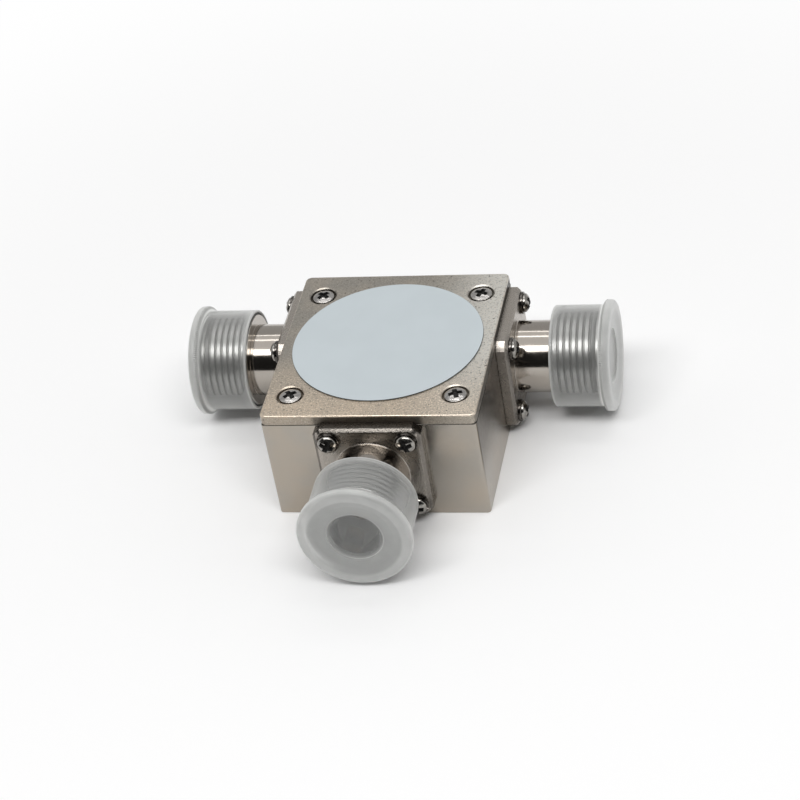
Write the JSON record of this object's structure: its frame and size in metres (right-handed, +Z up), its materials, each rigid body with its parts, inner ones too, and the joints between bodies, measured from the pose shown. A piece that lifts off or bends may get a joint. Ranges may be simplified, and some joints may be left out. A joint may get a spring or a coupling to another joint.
{
  "type": "rf circulator",
  "caption": "Square nickel-plated coaxial circulator with flanged threaded ports under push-on dust caps, passing radio signals round from port to port.",
  "frame": {"origin": "centre of the housing's flat base, under the junction's axis", "axes": "+Z up through the cover, -Y out of the front port, X across the two side ports"},
  "size_m": [0.071, 0.056, 0.0203],
  "materials": {
    "satin_nickel": "satin",
    "blasted_nickel": "matte",
    "bright_nickel": "polished",
    "screw_steel": "polished",
    "label_film": "matte",
    "milky_plastic": "satin",
    "white_insulator": "satin",
    "gold_plate": "polished",
    "silvered_strip": "satin",
    "ferrite": "satin",
    "ceramic_ring": "matte",
    "plate_steel": "satin",
    "magnet_ceramic": "matte",
    "compensator_alloy": "satin",
    "pad_rubber": "matte"
  },
  "bodies": {
    "circulator": {"housing": "satin_nickel", "cover_plate": "blasted_nickel", "cover_screws": "screw_steel", "round_label": "label_film", "left_connector": "bright_nickel", "right_connector": "bright_nickel", "front_connector": "bright_nickel", "left_insulator": "white_insulator", "right_insulator": "white_insulator", "front_insulator": "white_insulator", "left_contact": "gold_plate", "right_contact": "gold_plate", "front_contact": "gold_plate", "left_flange_screws": "screw_steel", "right_flange_screws": "screw_steel", "front_flange_screws": "screw_steel", "left_lock_washers": "screw_steel", "right_lock_washers": "screw_steel", "front_lock_washers": "screw_steel", "centre_conductor": "silvered_strip", "upper_ferrite": "ferrite", "upper_dielectric_ring": "ceramic_ring", "upper_ground_plate": "plate_steel", "upper_magnet": "magnet_ceramic", "upper_compensator": "compensator_alloy", "lower_ferrite": "ferrite", "lower_dielectric_ring": "ceramic_ring", "lower_ground_plate": "plate_steel", "lower_magnet": "magnet_ceramic", "lower_compensator": "compensator_alloy", "pressure_pad": "pad_rubber"},
    "left_cap": {"left_dust_cap": "milky_plastic"},
    "right_cap": {"right_dust_cap": "milky_plastic"},
    "front_cap": {"front_dust_cap": "milky_plastic"}
  },
  "joints": [
    {"name": "left_cap_pull", "type": "slide", "parent": "circulator", "child": "left_cap", "axis": [-1, 0, 0], "range_m": [0, 0.02]},
    {"name": "right_cap_pull", "type": "slide", "parent": "circulator", "child": "right_cap", "axis": [1, 0, 0], "range_m": [0, 0.02]},
    {"name": "front_cap_pull", "type": "slide", "parent": "circulator", "child": "front_cap", "axis": [0, -1, 0], "range_m": [0, 0.02]}
  ]
}
